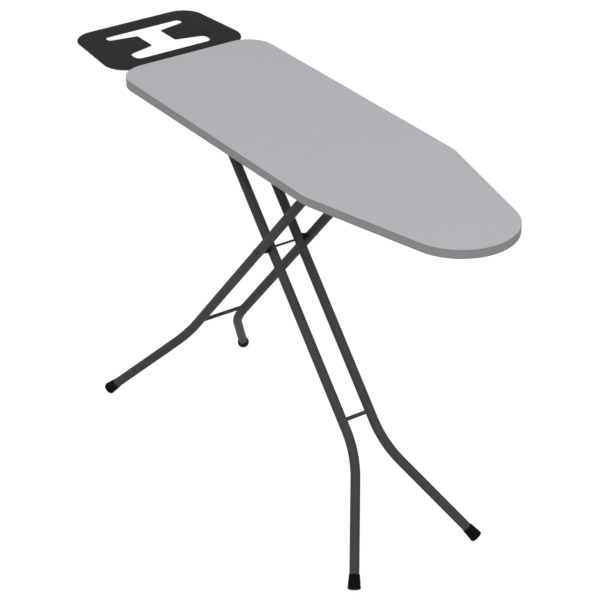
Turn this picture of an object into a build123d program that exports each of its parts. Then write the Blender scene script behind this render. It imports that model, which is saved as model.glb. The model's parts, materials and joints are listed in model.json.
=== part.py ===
from build123d import *
from math import asin, atan2, cos, degrees, hypot, radians, sin, tan
import os

# An ironing board on crossed tube legs, standing open at full height. Millimetres.
# The part's frame: +X runs to the nose, +Z is up, and the origin is on the floor below the
# middle of the overall length. Everything under the board is drawn from the board's rear
# edge and its ironing surface (x = 0, z = 0 there) and moved down to the floor at the end.

# Driving dimensions of the board
HEIGHT = 904.0                 # floor to ironing surface
BOARD_LENGTH = 1147.0
BOARD_WIDTH = 380.0
KINK_X = 764.0                 # where the parallel sides end and the taper starts
REAR_CORNER_RADIUS = 66.5
KINK_RADIUS = 108.0
NOSE_RADIUS = 121.5

# Layers of the board, measured down from the ironing surface
COVER_THICKNESS = 1.0
SKIRT_BOTTOM = -21.5           # lower face of the cover's turned-under hem
HEM_WIDTH = 30.0
PAD_BOTTOM = -5.0
SHEET_BOTTOM = -5.8
SKIN_GAP = 0.3                 # between the cover's skirt and what it wraps
RIM_RADIUS = 7.0
TUBE_WALL = 1.2
RIM_INSET = COVER_THICKNESS + SKIN_GAP + RIM_RADIUS
RIM_Z = SHEET_BOTTOM - RIM_RADIUS
RIB_WIDTH = 20.0
RIB_DEPTH = 10.0
RIB_BOTTOM = SHEET_BOTTOM - RIB_DEPTH
PLATE = 2.0                    # sheet steel of the rails and brackets
FLANGE_BOTTOM = RIB_BOTTOM - PLATE
VENT_PITCH = 36.0
VENT_RADIUS = 12.0

# Legs: two flat frames of round tube that cross at one bolt
LEG_SLOPE = 48.34              # degrees below the horizontal, both frames
PIVOT_DEPTH = 40.0             # ironing surface to the rods at the top of the legs
FRONT_TOP_X = 151.8            # rod that the front legs turn on, fixed under the board
REAR_TOP_X = 652.2             # rod that slides in the rails, at full height
LEG_RADIUS = 11.0
FRONT_LEG_Y = 37.2
REAR_LEG_Y = 69.0
LEG_TOP = -11.0                # a tube starts this far above its rod
SPLAY_AT = 872.5               # from the rod to the corner where a tube splays outwards
SPLAY_ANGLE = 25.65
SPLAY_RADIUS = 250.0
CROSSBAR_AT = 795.0
CROSSBAR_RADIUS = 4.5
ROD_RADIUS = 5.0
CAP_LENGTH = 32.0
CAP_WALL = 6.0                 # rubber under the end of the tube
CAP_MOUTH_RADIUS = 12.4
CAP_END_RADIUS = 14.5
CAP_EDGE = 3.2
FOOT_END_Z = 8.4               # height of the middle of a cap's closed end
BOLT_RADIUS = 2.6
BOLT_CLEARANCE = 0.08
SPACER_RADIUS = 8.75

# Slotted rails under the board and the rod that slides in them
RAIL_Y = 93.0                  # outer face of the rail's web
RAIL_START = 622.0
RAIL_END = 948.0
RAIL_BOTTOM = -54.0
GLIDE_RADIUS = 7.0
GLIDE_GAP = 0.3
FOLDED_SLOPE = 2.34
SLIDE_ROD_END = 114.0

# Latch over the far rail, worked by the lever beside it
LATCH_PIN_Y = 98.5
LATCH_PIN_Z = -26.5
LATCH_PIN_RADIUS = 2.0
EYE_RADIUS = 4.0
COMB_START = 640.0
COMB_END = 924.0
COMB_TOP = -25.5
COMB_INNER_Y = 103.0
COMB_OUTER_Y = 112.0
TOOTH_TIP = -34.6
TOOTH_PITCH = 36.0
NOTCH_RADIUS = 5.4
LEVER_X = 690.0
LEVER_WIDTH = 16.0
LEVER_THICKNESS = 3.0

# Iron rest behind the board
REST_REACH = 263.0
REST_FRONT_X = -5.0
REST_REAR_HALF = 163.0
REST_FRONT_HALF = 185.0
REST_REAR_RADIUS = 57.0
REST_FRONT_RADIUS = 62.0
REST_TOP = -8.8
REST_WEB = 1.6
REST_BOTTOM = -12.0
REST_LIP = 1.6
REST_EDGE_RADIUS = 1.8
REST_CUT_RADIUS = 0.5
ARM_Y = 125.0
ARM_WIDTH = 20.0
ARM_THICKNESS = 3.0
REST_SCREWS_X = (-60.0, -165.0)

# Worked out from the above
HALF_WIDTH = BOARD_WIDTH / 2
REAR_EDGE_X = -(BOARD_LENGTH - REST_REACH) / 2
NOSE_CENTRE_X = BOARD_LENGTH - NOSE_RADIUS
TAPER = atan2(HALF_WIDTH, NOSE_CENTRE_X - KINK_X) - asin(
    NOSE_RADIUS / hypot(NOSE_CENTRE_X - KINK_X, HALF_WIDTH)
)
TIP_HALF = HALF_WIDTH - (BOARD_LENGTH - KINK_X) * tan(TAPER)
HALF_SPREAD = (REAR_TOP_X - FRONT_TOP_X) / 2
CROSSING_AT = HALF_SPREAD / cos(radians(LEG_SLOPE))
LEG_REACH = (HEIGHT - PIVOT_DEPTH - FOOT_END_Z) / sin(radians(LEG_SLOPE))
SLIDE_END_X = FRONT_TOP_X + 2 * CROSSING_AT * cos(radians(FOLDED_SLOPE))
RIBS_X = (60.0, FRONT_TOP_X, 400.0, 640.0, 780.0, 932.0)
RAIL_RIBS_X = RIBS_X[3:]
SIDES = {"left": 1, "right": -1}

TO_FLOOR = Pos(REAR_EDGE_X, 0, HEIGHT)
FRONT_LEG_PLACE = Pos(FRONT_TOP_X, 0, -PIVOT_DEPTH) * Rot(0, LEG_SLOPE, 0)
REAR_LEG_PLACE = Pos(REAR_TOP_X, 0, -PIVOT_DEPTH) * Rot(0, 180 - LEG_SLOPE, 0)


def rounded_face(corners):
    """A flat face through corners (x, y, radius), each corner an arc of its radius."""
    edges = []
    starts = []
    ends = []
    count = len(corners)
    for i in range(count):
        here = Vector(corners[i][0], corners[i][1])
        radius = corners[i][2]
        back = Vector(*corners[i - 1][:2]) - here
        ahead = Vector(*corners[(i + 1) % count][:2]) - here
        back = back.normalized()
        ahead = ahead.normalized()
        half_angle = radians(back.get_angle(ahead)) / 2
        cut = radius / tan(half_angle)
        middle = here + (back + ahead).normalized() * (radius / sin(half_angle) - radius)
        starts.append(here + back * cut)
        ends.append(here + ahead * cut)
        edges.append(ThreePointArc(starts[-1], middle, ends[-1]))
    for i in range(count):
        line_start = ends[i - 1]
        if (starts[i] - line_start).length > 0.01:
            edges.append(Line(line_start, starts[i]))
    return make_face(edges)


def slab(face, bottom, top):
    """A flat face, drawn at z = 0, thickened from one height to another."""
    return extrude(Pos(0, 0, bottom) * face, amount=top - bottom)


def block(x0, x1, y0, y1, z0, z1):
    """A box given by its faces."""
    return Pos((x0 + x1) / 2, (y0 + y1) / 2, (z0 + z1) / 2) * Box(
        abs(x1 - x0), abs(y1 - y0), abs(z1 - z0)
    )


def bar_y(x, z, radius, y0, y1):
    """A round bar along Y."""
    return Pos(x, (y0 + y1) / 2, z) * Rot(90, 0, 0) * Cylinder(radius, abs(y1 - y0))


def bar_x(y, z, radius, x0, x1):
    """A round bar along X."""
    return Pos((x0 + x1) / 2, y, z) * Rot(0, 90, 0) * Cylinder(radius, abs(x1 - x0))


def bar_z(x, y, radius, z0, z1):
    """A round bar along Z."""
    return Pos(x, y, (z0 + z1) / 2) * Cylinder(radius, abs(z1 - z0))


def rivet(x, y, face_z, head_radius=4.5, shank_radius=2.5, grip=3.2):
    """A rivet put in from below: a low round head under face_z and its shank above it."""
    head = fillet(bar_z(x, y, head_radius, face_z - 1.8, face_z).edges().sort_by(Axis.Z)[0], 1.2)
    return head + bar_z(x, y, shank_radius, face_z - 0.5, face_z + grip)


# ---- the board and its layers ----


def board_outline(inset=0.0):
    """The board from above: parallel sides, two straight tapers and a round nose."""
    face = rounded_face([
        (0, -HALF_WIDTH, REAR_CORNER_RADIUS),
        (KINK_X, -HALF_WIDTH, KINK_RADIUS),
        (BOARD_LENGTH, -TIP_HALF, NOSE_RADIUS),
        (BOARD_LENGTH, TIP_HALF, NOSE_RADIUS),
        (KINK_X, HALF_WIDTH, KINK_RADIUS),
        (0, HALF_WIDTH, REAR_CORNER_RADIUS),
    ])
    if inset:
        face = offset(face, amount=-inset).face()
    return face


def make_cover():
    """Fitted cover: a thin top, a skirt down the sides and a hem turned under all round."""
    shell = slab(board_outline(), SKIRT_BOTTOM, 0)
    shell = fillet(shell.edges().group_by(Axis.Z)[-1], 2.0)
    inside = slab(board_outline(COVER_THICKNESS), SKIRT_BOTTOM + COVER_THICKNESS, -COVER_THICKNESS)
    opening = slab(board_outline(HEM_WIDTH), SKIRT_BOTTOM - 1, SKIRT_BOTTOM + COVER_THICKNESS)
    return shell - inside - opening


def make_foam_pad():
    """Flat felt and foam pad under the cover."""
    return slab(board_outline(COVER_THICKNESS + SKIN_GAP), PAD_BOTTOM, -COVER_THICKNESS)


def make_mesh_top():
    """Steel sheet under the pad, pierced all over so that steam gets away."""
    sheet = slab(board_outline(COVER_THICKNESS + SKIN_GAP), SHEET_BOTTOM, PAD_BOTTOM)
    allowed = board_outline(RIM_INSET + RIM_RADIUS + VENT_RADIUS + 4)
    vents = []
    row_pitch = VENT_PITCH * sin(radians(60))
    rows = int(HALF_WIDTH / row_pitch)
    for row in range(-rows, rows + 1):
        shift = VENT_PITCH / 2 if row % 2 else 0
        for column in range(int(BOARD_LENGTH / VENT_PITCH) + 1):
            spot = Vector(shift + column * VENT_PITCH, row * row_pitch, 0)
            if allowed.is_inside(spot):
                vents.append(Pos(spot) * Circle(VENT_RADIUS))
    holes = extrude(Pos(0, 0, SHEET_BOTTOM - 1) * Sketch(children=vents), amount=3)
    return sheet - holes


def rim_solid(radius):
    """A round bar bent along the board's outline."""
    path = board_outline(RIM_INSET).outer_wire()
    start = path.position_at(0)
    profile_plane = Plane(origin=start, z_dir=path.tangent_at(0))
    return Pos(0, 0, RIM_Z) * sweep(profile_plane * Circle(radius), path=path)


def make_rim_frame():
    """Round tube that runs right round under the edge of the sheet."""
    return rim_solid(RIM_RADIUS) - rim_solid(RIM_RADIUS - TUBE_WALL)


def make_cross_rib(x, rim, fasteners):
    """A box-section rib across the rim, welded to the tube at both ends."""
    outside = block(x - RIB_WIDTH / 2, x + RIB_WIDTH / 2, -HALF_WIDTH, HALF_WIDTH, RIB_BOTTOM, SHEET_BOTTOM)
    inside = block(
        x - RIB_WIDTH / 2 + TUBE_WALL, x + RIB_WIDTH / 2 - TUBE_WALL, -HALF_WIDTH, HALF_WIDTH,
        RIB_BOTTOM + TUBE_WALL, SHEET_BOTTOM - TUBE_WALL,
    )
    within = slab(board_outline(RIM_INSET), RIB_BOTTOM - 1, SHEET_BOTTOM + 1)
    rib = ((outside - inside) & within) - rim
    for fastener in fasteners:
        rib = rib - fastener
    return rib


# ---- front leg hinge ----


def make_hinge_bracket(rivets):
    """Folded bracket under the second rib, with two cheeks that hold the hinge rod."""
    x = FRONT_TOP_X
    base = block(x - 18, x + 18, -45, 45, FLANGE_BOTTOM, RIB_BOTTOM)
    cheeks = []
    for side in SIDES.values():
        cheek = block(x - 18, x + 18, side * 20, side * 22, -51, FLANGE_BOTTOM)
        lower = cheek.edges().filter_by(Axis.Y).group_by(Axis.Z)[0]
        cheeks.append(fillet(lower, 10))
    bracket = base + cheeks[0] + cheeks[1]
    bracket = bracket - bar_y(x, -PIVOT_DEPTH, 6.5, -30, 30)
    for one in rivets:
        bracket = bracket - one
    return bracket


def make_bracket_rivets():
    """Four rivets through the hinge bracket into its rib."""
    rivets = []
    for side in SIDES.values():
        for dx in (-5.5, 5.5):
            rivets.append(rivet(FRONT_TOP_X + dx, side * 34, FLANGE_BOTTOM))
    return rivets


def make_hinge_bushes():
    """Flanged nylon bushes that line the cheeks of the hinge bracket."""
    bushes = []
    for side in SIDES.values():
        barrel = bar_y(FRONT_TOP_X, -PIVOT_DEPTH, 6.5, side * 18.5, side * 24.5)
        flange = bar_y(FRONT_TOP_X, -PIVOT_DEPTH, 8.5, side * 22, side * 24.5)
        bore = bar_y(FRONT_TOP_X, -PIVOT_DEPTH, ROD_RADIUS + 0.06, side * 15, side * 28)
        bushes.append(barrel + flange - bore)
    return bushes


# ---- slotted rails ----


def make_rail(side, rivets):
    """Rail with a top flange, a slotted web and a stiffening lip along the bottom."""
    inner = RAIL_Y - PLATE
    flange = block(RAIL_START, RAIL_END, side * 73, side * RAIL_Y, FLANGE_BOTTOM, RIB_BOTTOM)
    web = block(RAIL_START, RAIL_END, side * inner, side * RAIL_Y, RAIL_BOTTOM, FLANGE_BOTTOM)
    lip = block(RAIL_START, RAIL_END, side * 85, side * inner, RAIL_BOTTOM, RAIL_BOTTOM + PLATE)
    slot_half = GLIDE_RADIUS + GLIDE_GAP
    slot = block(
        REAR_TOP_X, SLIDE_END_X, side * 80, side * 110,
        -PIVOT_DEPTH - slot_half, -PIVOT_DEPTH + slot_half,
    )
    for x in (REAR_TOP_X, SLIDE_END_X):
        slot = slot + bar_y(x, -PIVOT_DEPTH, slot_half, side * 80, side * 110)
    rail = flange + web + lip - slot
    for one in rivets:
        rail = rail - one
    return rail


def make_rail_rivets():
    """Rivets through each rail's flange into the three ribs above it."""
    return [rivet(x, side * 80, FLANGE_BOTTOM) for x in RAIL_RIBS_X for side in SIDES.values()]


def make_slide_rod():
    """Rod across the tops of the rear legs; its ends slide in the rails."""
    return bar_y(REAR_TOP_X, -PIVOT_DEPTH, ROD_RADIUS, -SLIDE_ROD_END, SLIDE_ROD_END)


def make_slide_glides():
    """Flanged nylon glides on the rod where it passes through the rails."""
    glides = []
    for side in SIDES.values():
        barrel = bar_y(REAR_TOP_X, -PIVOT_DEPTH, GLIDE_RADIUS, side * 87, side * 100)
        flange = bar_y(REAR_TOP_X, -PIVOT_DEPTH, 8.0, side * 96, side * 100)
        glides.append(barrel + flange - make_slide_rod())
    return glides


def make_slide_washers():
    """Push-on washers that keep the glides on the rod."""
    washers = []
    for side in SIDES.values():
        washer = bar_y(REAR_TOP_X, -PIVOT_DEPTH, 8.0, side * 100, side * 101.5)
        washers.append(washer - make_slide_rod())
    return washers


# ---- latch ----


def make_latch_pin():
    """Long pin beside the left rail that the latch comb turns on."""
    return bar_x(LATCH_PIN_Y, LATCH_PIN_Z, LATCH_PIN_RADIUS, COMB_START - 11, COMB_END + 11)


def make_latch_ears():
    """Two ears welded to the left rail, one at each end of the latch pin."""
    ears = []
    for x in (COMB_START - 8, COMB_END + 6):
        ear = block(x, x + PLATE, RAIL_Y, 105, -32, FLANGE_BOTTOM)
        ear = fillet(ear.edges().filter_by(Axis.X).group_by(Axis.Y)[-1], 4)
        ears.append(ear - make_latch_pin())
    return ears


def make_latch_clips():
    """Clips on the two ends of the latch pin."""
    clips = []
    for x in (COMB_START - 9, COMB_END + 8):
        clip = bar_x(LATCH_PIN_Y, LATCH_PIN_Z, 4.5, x, x + 1)
        clips.append(clip - make_latch_pin())
    return clips


def make_latch_spring():
    """Torsion spring on the latch pin, drawn as the sleeve that its turns fill."""
    outside = bar_x(LATCH_PIN_Y, LATCH_PIN_Z, 3.6, 656, 676)
    inside = bar_x(LATCH_PIN_Y, LATCH_PIN_Z, LATCH_PIN_RADIUS + 0.5, 650, 680)
    return outside - inside


def make_latch_comb():
    """Toothed latch plate: two eyes on the pin, a flat top and a row of notches."""
    thick = 2.0
    plate = block(COMB_START, COMB_END, COMB_INNER_Y, COMB_OUTER_Y, COMB_TOP - thick, COMB_TOP)
    strip = block(COMB_START, COMB_END, COMB_OUTER_Y - thick, COMB_OUTER_Y, TOOTH_TIP, COMB_TOP)
    notch_x = REAR_TOP_X
    while notch_x < SLIDE_END_X + 1:
        strip = strip - bar_y(notch_x, TOOTH_TIP, NOTCH_RADIUS, COMB_OUTER_Y - 5, COMB_OUTER_Y + 5)
        notch_x += TOOTH_PITCH
    comb = plate + strip
    for x in (COMB_START, COMB_END - 12):
        eye = bar_x(LATCH_PIN_Y, LATCH_PIN_Z, EYE_RADIUS, x, x + 12)
        tab = block(x, x + 12, LATCH_PIN_Y, COMB_INNER_Y + 1, COMB_TOP - thick, COMB_TOP)
        comb = comb + eye + tab
    bore = bar_x(LATCH_PIN_Y, LATCH_PIN_Z, LATCH_PIN_RADIUS + 0.06, COMB_START - 5, COMB_END + 5)
    return comb - bore


def make_release_lever():
    """Cranked strip on top of the comb that reaches out to just inside the board's edge."""
    line = Polyline((104, COMB_TOP), (121, COMB_TOP), (139, -51), (176, -51))
    line = fillet(line.vertices()[1:3], 8)
    profile = offset(line, amount=LEVER_THICKNESS, side=Side.LEFT)
    strip = extrude(Plane.YZ * make_face(profile.edges()), amount=LEVER_WIDTH)
    return Pos(LEVER_X - LEVER_WIDTH / 2, 0, 0) * strip


def make_lever_grip(lever):
    """Plastic finger grip over the end of the lever."""
    grip = block(LEVER_X - 15, LEVER_X + 15, 148, 184, -55, -45)
    grip = fillet(grip.edges(), 3.5)
    return grip - lever


# ---- iron rest ----


def rest_outline(inset=0.0):
    """The rest from above: a symmetric plate, wider at the board, with round corners."""
    face = rounded_face([
        (-REST_REACH, -REST_REAR_HALF, REST_REAR_RADIUS),
        (REST_FRONT_X, -REST_FRONT_HALF, REST_FRONT_RADIUS),
        (REST_FRONT_X, REST_FRONT_HALF, REST_FRONT_RADIUS),
        (-REST_REACH, REST_REAR_HALF, REST_REAR_RADIUS),
    ])
    if inset:
        face = offset(face, amount=-inset).face()
    return face


def rest_cutout():
    """Two wide slots joined by a narrow waist, cut through the middle of the rest."""
    half = [
        (-208.5, 101, 11),
        (-187, 101, 10),
        (-174, 31, 6),
        (-106, 31, 6),
        (-88, 101, 15),
        (-52.5, 101, 15),
    ]
    mirrored = [(x, -y, r) for x, y, r in reversed(half)]
    return rounded_face(half + mirrored)


def make_iron_rest(screws):
    """Pressed plate with a rounded, turned-down edge and a plain cutout through the middle."""
    plate = slab(rest_outline(), REST_BOTTOM, REST_TOP)
    plate = fillet(plate.edges().group_by(Axis.Z)[-1], REST_EDGE_RADIUS)
    plate = plate - slab(rest_outline(REST_LIP), REST_BOTTOM - 1, REST_TOP - REST_WEB)
    plate = plate - slab(rest_cutout(), REST_BOTTOM - 1, 0)
    top_edges = plate.edges().group_by(Axis.Z)[-1]
    cut_edges = [e for e in top_edges if abs(e.center().Y) < 110 and -215 < e.center().X < -45]
    plate = fillet(cut_edges, REST_CUT_RADIUS)
    for x in REST_SCREWS_X:
        for side in SIDES.values():
            plate = plate + bar_z(x, side * ARM_Y, 6, REST_BOTTOM, REST_TOP - REST_WEB)
    for screw in screws:
        plate = plate - screw
    return plate


def make_rest_arm(side, fasteners):
    """Flat steel arm: riveted under the first rib, cranked below the rim, flat under the rest."""
    under = SKIRT_BOTTOM - 0.5
    line = Polyline(
        (72, RIB_BOTTOM), (50, RIB_BOTTOM), (36, under), (-8, under), (-24, REST_BOTTOM), (-185, REST_BOTTOM)
    )
    line = fillet(line.vertices()[1:5], 6)
    profile = offset(line, amount=ARM_THICKNESS, side=Side.LEFT)
    face = make_face(profile.edges())
    y0 = side * ARM_Y - ARM_WIDTH / 2
    arm = Pos(0, y0, 0) * extrude(Plane.XZ * face, amount=-ARM_WIDTH)
    for one in fasteners:
        arm = arm - one
    return arm


def make_rest_screws():
    """Screws from below through the arms into the bosses of the rest."""
    screws = []
    for x in REST_SCREWS_X:
        for side in SIDES.values():
            face_z = REST_BOTTOM - ARM_THICKNESS
            head = bar_z(x, side * ARM_Y, 4, face_z - 2.2, face_z)
            head = fillet(head.edges().sort_by(Axis.Z)[0], 1.2)
            screws.append(head + bar_z(x, side * ARM_Y, 2, face_z - 0.5, REST_TOP - REST_WEB - 0.5))
    return screws


def make_arm_rivets():
    """Rivets that hold the front ends of the arms to the first rib."""
    face_z = RIB_BOTTOM - ARM_THICKNESS
    return [rivet(RIBS_X[0], side * ARM_Y, face_z, grip=4.4) for side in SIDES.values()]


# ---- legs ----


def leg_path(side_y):
    """Centre line of one leg tube in its frame's plane: straight, then splayed outwards."""
    outward = 1 if side_y > 0 else -1
    end_x = LEG_REACH
    end_y = side_y + outward * (LEG_REACH - SPLAY_AT) * tan(radians(SPLAY_ANGLE))
    line = Polyline((LEG_TOP, side_y), (SPLAY_AT, side_y), (end_x, end_y))
    return fillet(line.vertices()[1], SPLAY_RADIUS)


def leg_end(side_y):
    """Place at the middle of a cap's closed end, with +Z along the tube and out of it."""
    path = leg_path(side_y)
    return Location(Plane(origin=path.position_at(1), z_dir=path.tangent_at(1)))


def leg_bar(side_y, radius):
    """A solid round bar along a leg's centre line, to the end of its cap."""
    path = leg_path(side_y)
    start = Plane(origin=path.position_at(0), z_dir=path.tangent_at(0))
    return sweep(start * Circle(radius), path=path)


def make_leg_tube(side_y, bolt_radius):
    """One leg tube, with holes for its top rod and for the bolt where the legs cross."""
    tube = leg_bar(side_y, LEG_RADIUS) - leg_bar(side_y, LEG_RADIUS - TUBE_WALL)
    tube = tube - leg_end(side_y) * Pos(0, 0, -CAP_WALL / 2) * Cylinder(30, CAP_WALL)
    tube = tube - bar_y(0, 0, ROD_RADIUS, side_y - 20, side_y + 20)
    return tube - bar_y(CROSSING_AT, 0, bolt_radius, side_y - 20, side_y + 20)


def make_crossbar(side_y):
    """Thin bar welded between the two tubes of a leg frame, just above the splay."""
    bar = bar_y(CROSSBAR_AT, 0, CROSSBAR_RADIUS, -side_y, side_y)
    for side in SIDES.values():
        bar = bar - leg_bar(side * side_y, LEG_RADIUS)
    return bar


def make_foot_cap(side_y, place):
    """Rubber cap over the end of a leg, flared to its closed end and worn flat on the floor."""
    cap = Pos(0, 0, -CAP_LENGTH / 2) * Cone(CAP_MOUTH_RADIUS, CAP_END_RADIUS, CAP_LENGTH)
    cap = fillet(cap.edges().sort_by(Axis.Z)[-1], CAP_EDGE)
    bore = Pos(0, 0, -CAP_WALL - 25) * Cylinder(LEG_RADIUS, 50)
    cap = TO_FLOOR * place * leg_end(side_y) * (cap - bore)
    return cap - block(-900, 900, -300, 300, -20, 0)


def make_front_hinge_rod():
    """Rod through the tops of the front legs, turning in the hinge bracket."""
    return bar_y(0, 0, ROD_RADIUS, -FRONT_LEG_Y - LEG_RADIUS - 3, FRONT_LEG_Y + LEG_RADIUS + 3)


def make_pivot_bolt():
    """Thin bolt through all four tubes where the legs cross, with a domed head."""
    outer = REAR_LEG_Y + LEG_RADIUS + 0.4
    head = bar_y(CROSSING_AT, 0, 6, -outer - 3.4, -outer)
    head = fillet(head.edges().sort_by(Axis.Y)[0], 2.4)
    return head + bar_y(CROSSING_AT, 0, BOLT_RADIUS, -outer - 0.5, outer + 6)


def make_pivot_nut(bolt):
    """Domed lock nut on the far end of the pivot bolt."""
    outer = REAR_LEG_Y + LEG_RADIUS + 0.4
    hexagon = extrude(Plane.XZ * RegularPolygon(5.8, 6), amount=-6.5)
    nut = Pos(CROSSING_AT, outer, 0) * hexagon
    return nut - bolt


def make_pivot_spacer(side, bolt):
    """Black spacer between a front and a rear tube, saddled round the front one."""
    barrel = bar_y(CROSSING_AT, 0, SPACER_RADIUS, side * 40, side * (REAR_LEG_Y - LEG_RADIUS - GLIDE_GAP))
    saddle = block(
        CROSSING_AT - SPACER_RADIUS, CROSSING_AT + SPACER_RADIUS, side * 40, side * 49.5, -9.5, 9.5
    )
    saddle = fillet(saddle.edges().filter_by(Axis.X), 2.0)
    spacer = barrel + saddle - leg_bar(side * FRONT_LEG_Y, LEG_RADIUS)
    return spacer - bolt


# ---- write every node ----


def build_board():
    """The board itself and what is fixed under it, as node name -> solids."""
    rim = rim_solid(RIM_RADIUS)
    bracket_rivets = make_bracket_rivets()
    rail_rivets = make_rail_rivets()
    arm_rivets = make_arm_rivets()
    rest_screws = make_rest_screws()
    nodes = {
        "cover": [make_cover()],
        "foam_pad": [make_foam_pad()],
        "mesh_top": [make_mesh_top()],
        "rim_frame": [make_rim_frame()],
        "hinge_bracket": [make_hinge_bracket(bracket_rivets)],
        "hinge_bushes": make_hinge_bushes(),
        "bracket_rivets": bracket_rivets,
        "rail_rivets": rail_rivets,
        "arm_rivets": arm_rivets,
        "iron_rest": [make_iron_rest(rest_screws)],
        "iron_rest_screws": rest_screws,
        "latch_pin": [make_latch_pin()],
        "latch_ears": make_latch_ears(),
        "latch_clips": make_latch_clips(),
        "latch_spring": [make_latch_spring()],
    }
    for number, x in enumerate(RIBS_X, start=1):
        near = [r for r in bracket_rivets + rail_rivets + arm_rivets if abs(r.center().X - x) < RIB_WIDTH / 2]
        nodes[f"cross_rib_{number}"] = [make_cross_rib(x, rim, near)]
    for name, side in SIDES.items():
        nodes[f"{name}_rail"] = [make_rail(side, rail_rivets)]
        nodes[f"{name}_rest_arm"] = [make_rest_arm(side, arm_rivets + rest_screws)]
    return nodes


def build_latch():
    """The pieces that the release lever moves."""
    lever = make_release_lever()
    return {
        "latch_comb": [make_latch_comb()],
        "release_lever": [lever],
        "lever_grip": [make_lever_grip(lever)],
    }


def build_front_legs():
    """The inner leg frame, whose feet stand under the nose."""
    bolt = make_pivot_bolt()
    nodes = {
        "front_hinge_rod": [make_front_hinge_rod()],
        "front_crossbar": [make_crossbar(FRONT_LEG_Y)],
        "pivot_bolt": [bolt],
        "pivot_nut": [make_pivot_nut(bolt)],
    }
    for name, side in SIDES.items():
        nodes[f"front_{name}_tube"] = [make_leg_tube(side * FRONT_LEG_Y, BOLT_RADIUS)]
        nodes[f"{name}_pivot_spacer"] = [make_pivot_spacer(side, bolt)]
    return nodes


def build_rear_legs():
    """The outer leg frame, whose feet stand behind the board."""
    nodes = {"rear_crossbar": [make_crossbar(REAR_LEG_Y)]}
    for name, side in SIDES.items():
        hole = BOLT_RADIUS + BOLT_CLEARANCE
        nodes[f"rear_{name}_tube"] = [make_leg_tube(side * REAR_LEG_Y, hole)]
    return nodes


def write_node(name, solids):
    """One STEP file for a node, with each of its solids kept separate."""
    shape = solids[0] if len(solids) == 1 else Compound(children=list(solids))
    export_step(shape, f"parts/{name}.step")


os.makedirs("parts", exist_ok=True)

for name, solids in {**build_board(), **build_latch()}.items():
    write_node(name, [TO_FLOOR * solid for solid in solids])

for name, solids in build_front_legs().items():
    write_node(name, [TO_FLOOR * FRONT_LEG_PLACE * solid for solid in solids])

for name, solids in build_rear_legs().items():
    write_node(name, [TO_FLOOR * REAR_LEG_PLACE * solid for solid in solids])

write_node("slide_rod", [TO_FLOOR * make_slide_rod()])
write_node("slide_glides", [TO_FLOOR * glide for glide in make_slide_glides()])
write_node("slide_washers", [TO_FLOOR * washer for washer in make_slide_washers()])

for name, side in SIDES.items():
    write_node(f"front_{name}_foot_cap", [make_foot_cap(side * FRONT_LEG_Y, FRONT_LEG_PLACE)])
    write_node(f"rear_{name}_foot_cap", [make_foot_cap(side * REAR_LEG_Y, REAR_LEG_PLACE)])
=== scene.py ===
"""An ironing board on crossed tube legs: its cloth, sheet metal, tube and rubber, built
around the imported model. Every length is in metres, in the model's own frame."""

import json

import bmesh
import bpy
import numpy as np
from mathutils import Matrix, Vector
from mathutils.geometry import tessellate_polygon


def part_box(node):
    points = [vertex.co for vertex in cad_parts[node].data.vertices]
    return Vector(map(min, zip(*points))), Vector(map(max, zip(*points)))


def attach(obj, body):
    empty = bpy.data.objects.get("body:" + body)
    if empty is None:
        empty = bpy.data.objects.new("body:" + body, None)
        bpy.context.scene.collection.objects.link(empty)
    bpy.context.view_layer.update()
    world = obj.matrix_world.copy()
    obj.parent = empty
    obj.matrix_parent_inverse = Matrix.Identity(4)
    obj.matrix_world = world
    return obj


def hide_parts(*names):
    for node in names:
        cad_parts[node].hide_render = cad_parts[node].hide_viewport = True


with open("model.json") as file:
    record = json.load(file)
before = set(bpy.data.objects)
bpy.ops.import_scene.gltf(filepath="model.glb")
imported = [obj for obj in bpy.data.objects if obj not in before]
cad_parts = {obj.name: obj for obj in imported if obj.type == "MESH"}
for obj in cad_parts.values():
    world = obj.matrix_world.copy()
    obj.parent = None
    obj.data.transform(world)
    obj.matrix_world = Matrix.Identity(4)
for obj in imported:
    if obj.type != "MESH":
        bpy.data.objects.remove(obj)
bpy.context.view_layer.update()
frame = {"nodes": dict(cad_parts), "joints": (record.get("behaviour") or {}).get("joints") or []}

# ---- The studio ----
# A pale floor that runs on under everything, a bright even sky and two large soft lamps, so
# that the board stands in plain daylight with only a trace of shadow under it.


def add(tree, kind, settings=None, **sockets):
    """A shader node with its settings, and its sockets given as values or as links."""
    made = tree.nodes.new("ShaderNode" + kind)
    for key, value in (settings or {}).items():
        setattr(made, key, value)
    for key, value in sockets.items():
        socket = made.inputs[int(key[1:])] if key[1:].isdigit() else made.inputs[key.replace("_", " ")]
        if isinstance(value, bpy.types.NodeSocket):
            tree.links.new(value, socket)
        else:
            socket.default_value = value
    return made


def blank(name, color, roughness, metallic=0.0, specular=0.5):
    """A material with one surface shader: returns it, its nodes and the shader."""
    made = bpy.data.materials.new(name)
    made.use_nodes = True
    shader = made.node_tree.nodes["Principled BSDF"]
    shader.inputs["Base Color"].default_value = (*color, 1)
    shader.inputs["Roughness"].default_value = roughness
    shader.inputs["Metallic"].default_value = metallic
    shader.inputs["Specular IOR Level"].default_value = specular
    return made, made.node_tree, shader


floor_half = 14.0
floor_corners = floor_half * np.array([(-1, -1, 0), (1, -1, 0), (1, 1, 0), (-1, 1, 0)])
floor_mesh = bpy.data.meshes.new("floor")
floor_mesh.from_pydata(floor_corners, [], [(0, 1, 2, 3)])
floor = bpy.data.objects.new("floor", floor_mesh)
bpy.context.scene.collection.objects.link(floor)
floor_paint, _, floor_shader = blank("floor_paint", (0.25, 0.25, 0.25), 0.9, specular=0.0)
floor_shader.inputs["Emission Color"].default_value = (1, 1, 1, 1)
floor_shader.inputs["Emission Strength"].default_value = 0.82
floor_mesh.materials.append(floor_paint)
floor.visible_diffuse = False
floor.visible_glossy = False

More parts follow.
